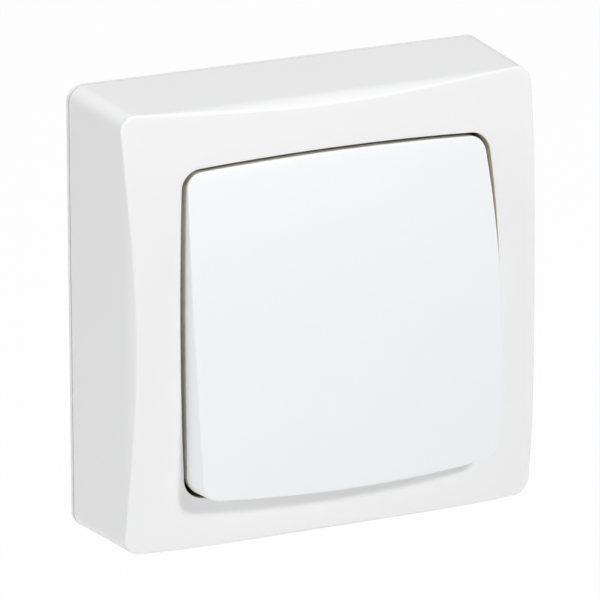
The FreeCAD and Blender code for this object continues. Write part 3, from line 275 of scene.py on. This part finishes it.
def make_moulding(name, rings, material, middles=None):
    """Extrude from ring to ring. Both ends close on their middles, or else the last ring meets the first."""
    mesh = bmesh.new()
    loop = [mesh.verts.new(point * MM) for point in rings[0]]
    first_edges = [mesh.edges.new(pair) for pair in zip(loop, loop[1:] + loop[:1])]
    edges = first_edges
    for ring in rings[1:]:
        loop, edges = extruded(mesh, loop, edges, ring)
    if middles:
        for end, middle in zip((first_edges, edges), middles):
            cap = bmesh.ops.contextual_create(mesh, geom=end)["faces"]
            tip = bmesh.ops.poke(mesh, faces=cap)["verts"][0]
            tip.co = middle * MM
    else:
        bmesh.ops.bridge_loops(mesh, edges=first_edges + edges)
    bmesh.ops.recalc_face_normals(mesh, faces=mesh.faces)
    data = bpy.data.meshes.new(name)
    mesh.to_mesh(data)
    mesh.free()
    data.polygons.foreach_set("use_smooth", [True] * len(data.polygons))
    data.set_sharp_from_angle(angle=SMOOTH_ANGLE)
    data.materials.append(material)
    thing = bpy.data.objects.new(name, data)
    bpy.context.scene.collection.objects.link(thing)
    return thing


# Cover

def cover_point(number, depth):
    """A point of the cover's outside at a depth, with the sides rolled in."""
    x, z = square_outline(PLATE_HALF - depth * DRAFT, CORNER_RADIUS)[number]
    if depth > SHOULDER_DEPTH:
        centre = PLATE_HALF - SHOULDER_DEPTH * DRAFT - SHOULDER_RADIUS * math.cos(LEAN)
        rise = depth - SHOULDER_DEPTH + SHOULDER_RADIUS * math.sin(LEAN)
        limit = centre + math.sqrt(SHOULDER_RADIUS ** 2 - rise ** 2)
        x = max(-limit, min(limit, x))
        z = max(-limit, min(limit, z))
    return Vector((x, -depth, z))


def crease_depth(number):
    """The depth at which the side meets the domed front."""
    depth = SHOULDER_DEPTH
    for step in range(SOLVE_STEPS):
        place = cover_point(number, depth)
        depth = -on_front(place.x, place.z).y
    return depth


def side_points(number, top):
    """The side, from the chamfer at the back edge up to a depth just short of the crease."""
    back_half = PLATE_HALF - COVER_BACK * DRAFT - BACK_CHAMFER
    back_x, back_z = square_outline(back_half, CORNER_RADIUS - BACK_CHAMFER)[number]
    points = [Vector((back_x, -COVER_BACK, back_z)), cover_point(number, COVER_BACK + BACK_CHAMFER)]
    points += [cover_point(number, level) for level in SIDE_LEVELS]
    for n in range(ROLL_STEPS):
        level = ROLL_START + (top - ROLL_START) * n / ROLL_STEPS
        points.append(cover_point(number, max(level, ROLL_LEAST + ROLL_SPACING * n)))
    return points


def front_points(start, edge, outward):
    """The domed front from the crease to the opening, and the opening's rounded edge."""
    brink = edge + outward * OPENING_ROUND
    brink = on_front(brink.x, brink.z)
    points = []
    for n in range(1, FRONT_STEPS):
        place = start.lerp(brink, n / FRONT_STEPS)
        points.append(on_front(place.x, place.z))
    return points + curve(brink, edge, edge + Vector((0, OPENING_ROUND, 0)), LIP_STEPS)


def inside_points(last, collar, core):
    """Down the collar's inner face, up its outer face and down the cover's inside."""
    points = []
    for n in range(1, COLLAR_STEPS + 1):
        y = -COLLAR_DEPTH + (last.y + COLLAR_DEPTH) * (1 - n / COLLAR_STEPS)
        points.append(Vector((last.x, y, last.z)))
    points.append(Vector((collar[0], -COLLAR_DEPTH, collar[1])))
    points.append(on_front_inside(*collar))
    core_x, core_z = core
    if abs(core_x) < abs(core_z):
        points.append(on_front_inside(core_x, core_z - math.copysign(CORE_LEAN, core_z)))
    else:
        points.append(on_front_inside(core_x - math.copysign(CORE_LEAN, core_x), core_z))
    points.append(Vector((core_x, -COVER_BACK, core_z)))
    return points


def cover_section(number, mouth, collar, core):
    """The cover's section at one place round it, from the back edge over the front and back inside."""
    depth = crease_depth(number)
    crease = cover_point(number, depth)
    edge = on_front(*mouth)
    inward = Vector((edge.x - crease.x, 0, edge.z - crease.z)).normalized()
    near = crease + inward * PROBE
    below = cover_point(number, depth - PROBE)
    bend, reach = rounding(below, crease, on_front(near.x, near.z), CREASE_ROUND, CREASE_STEPS)
    section = side_points(number, depth - reach * ROLL_END) + bend
    section += front_points(bend[-1], edge, -inward)
    return section + inside_points(section[-1], collar, core)


def make_cover(material):
    mouth = barrel_outline(OPENING_HALF, OPENING_HALF, OPENING_BULGE, OPENING_CORNER)
    collar_half = OPENING_HALF + COLLAR_WALL
    collar = barrel_outline(collar_half, collar_half, OPENING_BULGE, OPENING_CORNER + COLLAR_WALL)
    core = square_outline(PLATE_HALF - COVER_WALL, CORNER_RADIUS - COVER_WALL / 2)
    sections = [cover_section(n, mouth[n], collar[n], core[n]) for n in range(len(mouth))]
    cover = make_moulding("domed_cover", list(zip(*sections)), material)
    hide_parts("cover_frame")
    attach(cover, "fixed")


# Rocker

def key_outline(offset, flared=False):
    """The key's outline at the face or, flared, at the skirt's end, and an offset from it."""
    flare_x, flare_z = (KEY_FLARE_X, KEY_FLARE_Z) if flared else (0, 0)
    corner = KEY_FOOT_CORNER if flared else KEY_CORNER
    return barrel_outline(KEY_HALF_X + flare_x + offset, KEY_HALF_Z + flare_z + offset, KEY_BULGE,
                          corner + offset / 2)


def key_half_section(rim, foot, depth_in, round_size, face_steps):
    """From near the middle of the face to the skirt's end, on the outside or a wall's depth in."""
    apex, radius = KEY_APEX - depth_in, KEY_DOME_RADIUS - depth_in
    edge = on_dome(*rim, apex, radius)
    near = on_dome(rim[0] * KEY_PROBE, rim[1] * KEY_PROBE, apex, radius)
    bend = rounding(near, edge, edge + Vector((0, 1, 0)), round_size, KEY_BEND_STEPS)[0]
    section = []
    for n in range(1, face_steps):
        share = (n / face_steps) ** KEY_FACE_SPREAD
        section.append(on_dome(bend[0].x * share, bend[0].z * share, apex, radius))
    section += bend
    skirt_end = Vector((foot[0], -KEY_SKIRT, foot[1]))
    for n in range(1, KEY_SKIRT_STEPS + 1):
        section.append(bend[-1].lerp(skirt_end, n / KEY_SKIRT_STEPS))
    return section


def make_key(material):
    face, foot = key_outline(0), key_outline(0, flared=True)
    inner_face, inner_foot = key_outline(-KEY_WALL), key_outline(-KEY_WALL, flared=True)
    sections = []
    for n in range(len(face)):
        front = key_half_section(face[n], foot[n], 0, KEY_ROUND, KEY_FACE_STEPS)
        back = key_half_section(inner_face[n], inner_foot[n], KEY_WALL, KEY_INNER_ROUND, KEY_INNER_STEPS)
        sections.append(front + back[::-1])
    centre = Matrix.Translation((0, -PIVOT_DEPTH, 0))
    tilt = centre @ Matrix.Rotation(-ROCK_ANGLE, 4, "X") @ centre.inverted()
    rings = [[tilt @ point for point in ring] for ring in zip(*sections)]
    middles = [tilt @ Vector((0, -KEY_APEX, 0)), tilt @ Vector((0, KEY_WALL - KEY_APEX, 0))]
    key = make_moulding("domed_rocker", rings, material, middles)
    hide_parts("rocker_key")
    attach(key, "rocker")


# Materials

def new_group(name, inputs, outputs):
    """A shader node group with its sockets, its input node and its output node."""
    group = bpy.data.node_groups.new(name, "ShaderNodeTree")
    for label, kind, default in inputs:
        socket = group.interface.new_socket(name=label, in_out="INPUT", socket_type=kind)
        socket.default_value = default
    for label, kind in outputs:
        group.interface.new_socket(name=label, in_out="OUTPUT", socket_type=kind)
    start = group.nodes.new("NodeGroupInput")
    end = group.nodes.new("NodeGroupOutput")
    return group, start, end


def grain_group():
    """Fine moulded grain: a small change of shade, and a very shallow bump."""
    group, start, end = new_group(
        "moulded_grain",
        (("Scale", "NodeSocketFloat", GRAIN_SCALE), ("Depth", "NodeSocketFloat", GRAIN_STRENGTH)),
        (("Shade", "NodeSocketFloat"), ("Normal", "NodeSocketVector")))
    nodes, links = group.nodes, group.links
    place = nodes.new("ShaderNodeTexCoord")
    noise = nodes.new("ShaderNodeTexNoise")
    noise.inputs["Detail"].default_value = 3
    links.new(place.outputs["Object"], noise.inputs["Vector"])
    links.new(start.outputs["Scale"], noise.inputs["Scale"])
    slow = nodes.new("ShaderNodeTexNoise")
    slow.inputs["Scale"].default_value = SHADE_SCALE
    slow.inputs["Detail"].default_value = 2
    links.new(place.outputs["Object"], slow.inputs["Vector"])
    bump = nodes.new("ShaderNodeBump")
    bump.inputs["Distance"].default_value = GRAIN_HEIGHT
    links.new(start.outputs["Depth"], bump.inputs["Strength"])
    links.new(noise.outputs["Fac"], bump.inputs["Height"])
    links.new(slow.outputs["Fac"], end.inputs["Shade"])
    links.new(bump.outputs["Normal"], end.inputs["Normal"])
    return group


def painted_collar_shade_group():
    """A mask for the painted shade on the collar's inner face: 1 on upright faces inside the opening, and 0
    on all else.
    """
    group, start, end = new_group("collar_painted_shade_mask", (("Half width", "NodeSocketFloat", PAINTED_SHADE_REACH),),
                                  (("Mask", "NodeSocketFloat"),))
    nodes, links = group.nodes, group.links
    place = nodes.new("ShaderNodeTexCoord")
    spot = nodes.new("ShaderNodeSeparateXYZ")
    links.new(place.outputs["Object"], spot.inputs[0])
    facing = nodes.new("ShaderNodeSeparateXYZ")
    links.new(place.outputs["Normal"], facing.inputs[0])

    def calc(kind, a, b):
        node = nodes.new("ShaderNodeMath")
        node.operation = kind
        for socket, source in zip(node.inputs, (a, b)):
            if isinstance(source, float):
                socket.default_value = source
            else:
                links.new(source, socket)
        return node.outputs[0]

    across = calc("ABSOLUTE", spot.outputs["X"], 0.0)
    up = calc("ABSOLUTE", spot.outputs["Z"], 0.0)
    inside = calc("LESS_THAN", calc("MAXIMUM", across, up), start.outputs["Half width"])
    upright = calc("LESS_THAN", calc("ABSOLUTE", facing.outputs["Y"], 0.0), PAINTED_SHADE_FACING)
    links.new(calc("MULTIPLY", inside, upright), end.inputs["Mask"])
    return group


def plastic(name, colour, roughness, grain, spread=PLASTIC_SPREAD, painted_shade_mask=None):
    """Moulded plastic whose shade varies by a spread, with painted shade, a darker khaki, where a mask group
    says so.
    """
    material = bpy.data.materials.new(name)
    material.use_nodes = True
    nodes, links = material.node_tree.nodes, material.node_tree.links
    shader = nodes["Principled BSDF"]
    shader.inputs["Roughness"].default_value = roughness
    shader.inputs["IOR"].default_value = PLASTIC_IOR
    texture = nodes.new("ShaderNodeGroup")
    texture.node_tree = grain
    shade = nodes.new("ShaderNodeMix")
    shade.data_type = "RGBA"
    shade.inputs["A"].default_value = (*[part * (1 - spread) for part in colour], 1)
    shade.inputs["B"].default_value = (*[min(1, part * (1 + spread)) for part in colour], 1)
    links.new(texture.outputs["Shade"], shade.inputs["Factor"])
    result = shade.outputs["Result"]
    if painted_shade_mask:
        # Painted shade: the khaki colour goes over the base colour where the mask is 1.
        mask = nodes.new("ShaderNodeGroup")
        mask.node_tree = painted_shade_mask
        painted_shade_mix = nodes.new("ShaderNodeMix")
        painted_shade_mix.data_type = "RGBA"
        painted_shade_mix.inputs["B"].default_value = (*COLLAR_PAINTED_SHADE, 1)
        links.new(mask.outputs["Mask"], painted_shade_mix.inputs["Factor"])
        links.new(result, painted_shade_mix.inputs["A"])
        result = painted_shade_mix.outputs["Result"]
    links.new(result, shader.inputs["Base Color"])
    links.new(texture.outputs["Normal"], shader.inputs["Normal"])
    return material


def metal(name, colour, roughness, grain):
    """Bare metal with the same grain."""
    material = plastic(name, colour, roughness, grain, spread=METAL_SPREAD)
    material.node_tree.nodes["Principled BSDF"].inputs["Metallic"].default_value = 1.0
    return material


def make_materials():
    grain = grain_group()
    collar = painted_collar_shade_group()
    return {
        # The cover's material carries the painted shade on the collar's inner face.
        "cover": plastic("white_cover", COVER_WHITE, 0.28, grain, painted_shade_mask=collar),
        "rocker": plastic("white_rocker", ROCKER_WHITE, 0.28, grain),
        "base": plastic("white_base", COVER_WHITE, 0.32, grain),
        "housing": plastic("grey_housing", HOUSING_GREY, 0.5, grain, spread=0.03),
        "cradle": plastic("pale_cradle", CRADLE_CREAM, 0.45, grain, spread=0.02),
        "brass": metal("strip_brass", STRIP_BRASS, 0.3, grain),
        "silver": metal("tip_silver", TIP_SILVER, 0.25, grain),
        "steel": metal("screw_steel", SCREW_ZINC, 0.3, grain),
    }


NODE_MATERIALS = {
    "base_plate": "base", "cover_frame": "cover", "rocker_key": "rocker",
    "mechanism_housing": "housing", "bearing_frame": "housing",
    "rocker_cradle": "cradle", "plunger": "cradle", "plunger_spring": "steel",
    "contact_arm": "brass", "moving_contact_tips": "silver",
    "common_contact": "brass", "upper_contact": "brass", "lower_contact": "brass",
    "upper_contact_tip": "silver", "lower_contact_tip": "silver",
    "common_terminal": "brass", "upper_terminal": "brass", "lower_terminal": "brass",
    "terminal_screws": "steel", "housing_screws": "steel", "bearing_frame_screws": "steel",
}


# Surroundings

def make_floor():
    mesh = bmesh.new()
    bmesh.ops.create_grid(mesh, x_segments=1, y_segments=1, size=FLOOR_HALF)
    bmesh.ops.translate(mesh, verts=mesh.verts, vec=(0, 0, FLOOR_HEIGHT))
    data = bpy.data.meshes.new("floor")
    mesh.to_mesh(data)
    mesh.free()
    data.materials.append(make_floor_material())
    floor = bpy.data.objects.new("floor", data)
    bpy.context.scene.collection.objects.link(floor)


def make_floor_material():
    """A pale floor that glows for the camera, so that it stays white and still shows a shadow."""
    material = bpy.data.materials.new("pale_floor")
    material.use_nodes = True
    nodes, links = material.node_tree.nodes, material.node_tree.links
    shader = nodes["Principled BSDF"]
    shader.inputs["Base Color"].default_value = (FLOOR_GREY, FLOOR_GREY, FLOOR_GREY, 1)
    shader.inputs["Roughness"].default_value = 1.0
    path = nodes.new("ShaderNodeLightPath")
    glow = nodes.new("ShaderNodeEmission")
    glow.inputs["Color"].default_value = (1, 1, 1, 1)
    mix = nodes.new("ShaderNodeMixShader")
    share = nodes.new("ShaderNodeMath")
    share.operation = "MULTIPLY"
    share.inputs[1].default_value = FLOOR_GLOW
    links.new(path.outputs["Is Camera Ray"], share.inputs[0])
    links.new(share.outputs[0], mix.inputs["Fac"])
    links.new(shader.outputs[0], mix.inputs[1])
    links.new(glow.outputs[0], mix.inputs[2])
    links.new(mix.outputs[0], nodes["Material Output"].inputs["Surface"])
    return material


def make_world():
    """Soft light from all around, and white where the camera sees past the floor."""
    world = bpy.data.worlds.new("soft_room")
    bpy.context.scene.world = world
    world.use_nodes = True
    nodes, links = world.node_tree.nodes, world.node_tree.links
    light = nodes["Background"]
    light.inputs["Color"].default_value = (1, 1, 1, 1)
    light.inputs["Strength"].default_value = ROOM_LIGHT
    seen = nodes.new("ShaderNodeBackground")
    seen.inputs["Color"].default_value = (1, 1, 1, 1)
    seen.inputs["Strength"].default_value = BACKDROP_LIGHT
    path = nodes.new("ShaderNodeLightPath")
    mix = nodes.new("ShaderNodeMixShader")
    links.new(path.outputs["Is Camera Ray"], mix.inputs["Fac"])
    links.new(light.outputs[0], mix.inputs[1])
    links.new(seen.outputs[0], mix.inputs[2])
    links.new(mix.outputs[0], nodes["World Output"].inputs["Surface"])


def make_lamp(name, place, size, power):
    """A round lamp that faces the switch."""
    lamp = bpy.data.lights.new(name, "AREA")
    lamp.shape = "DISK"
    lamp.size = size
    lamp.energy = power
    thing = bpy.data.objects.new(name, lamp)
    bpy.context.scene.collection.objects.link(thing)
    thing.location = place
    thing.rotation_euler = (Vector(LAMP_AIM) - Vector(place)).to_track_quat("-Z", "Y").to_euler()


def make_camera():
    """The camera at the photo's angle, aimed so that the switch lies as it does in the photo."""
    back = Vector((math.sin(CAMERA_AZIMUTH) * math.cos(CAMERA_ELEVATION),
                   -math.cos(CAMERA_AZIMUTH) * math.cos(CAMERA_ELEVATION), math.sin(CAMERA_ELEVATION)))
    right = Vector((math.cos(CAMERA_AZIMUTH), math.sin(CAMERA_AZIMUTH), 0))
    up = right.cross(-back)
    place = CAMERA_TARGET + back * CAMERA_DISTANCE
    pixel = CAMERA_DISTANCE / FOCAL_PIXELS
    aim = CAMERA_TARGET - right * (AIM_LEFT * pixel) - up * (AIM_DOWN * pixel)
    data = bpy.data.cameras.new("camera")
    data.sensor_width = SENSOR_WIDTH
    data.lens = FOCAL_PIXELS / PICTURE_WIDTH * SENSOR_WIDTH
    data.clip_start, data.clip_end = CLIP_START, CLIP_END
    camera = bpy.data.objects.new("camera", data)
    bpy.context.scene.collection.objects.link(camera)
    turn = (aim - place).to_track_quat("-Z", "Y").to_matrix() @ Matrix.Rotation(CAMERA_ROLL, 3, "Z")
    camera.matrix_world = Matrix.Translation(place) @ turn.to_4x4()
    bpy.context.scene.camera = camera


def main():
    materials = make_materials()
    for name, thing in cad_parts.items():
        thing.data.materials.clear()
        thing.data.materials.append(materials[NODE_MATERIALS[name]])
    make_cover(materials["cover"])
    make_key(materials["rocker"])
    make_floor()
    make_world()
    for lamp in LAMPS:
        make_lamp(**lamp)
    make_camera()
    bpy.context.scene.view_settings.view_transform = "Standard"


main()
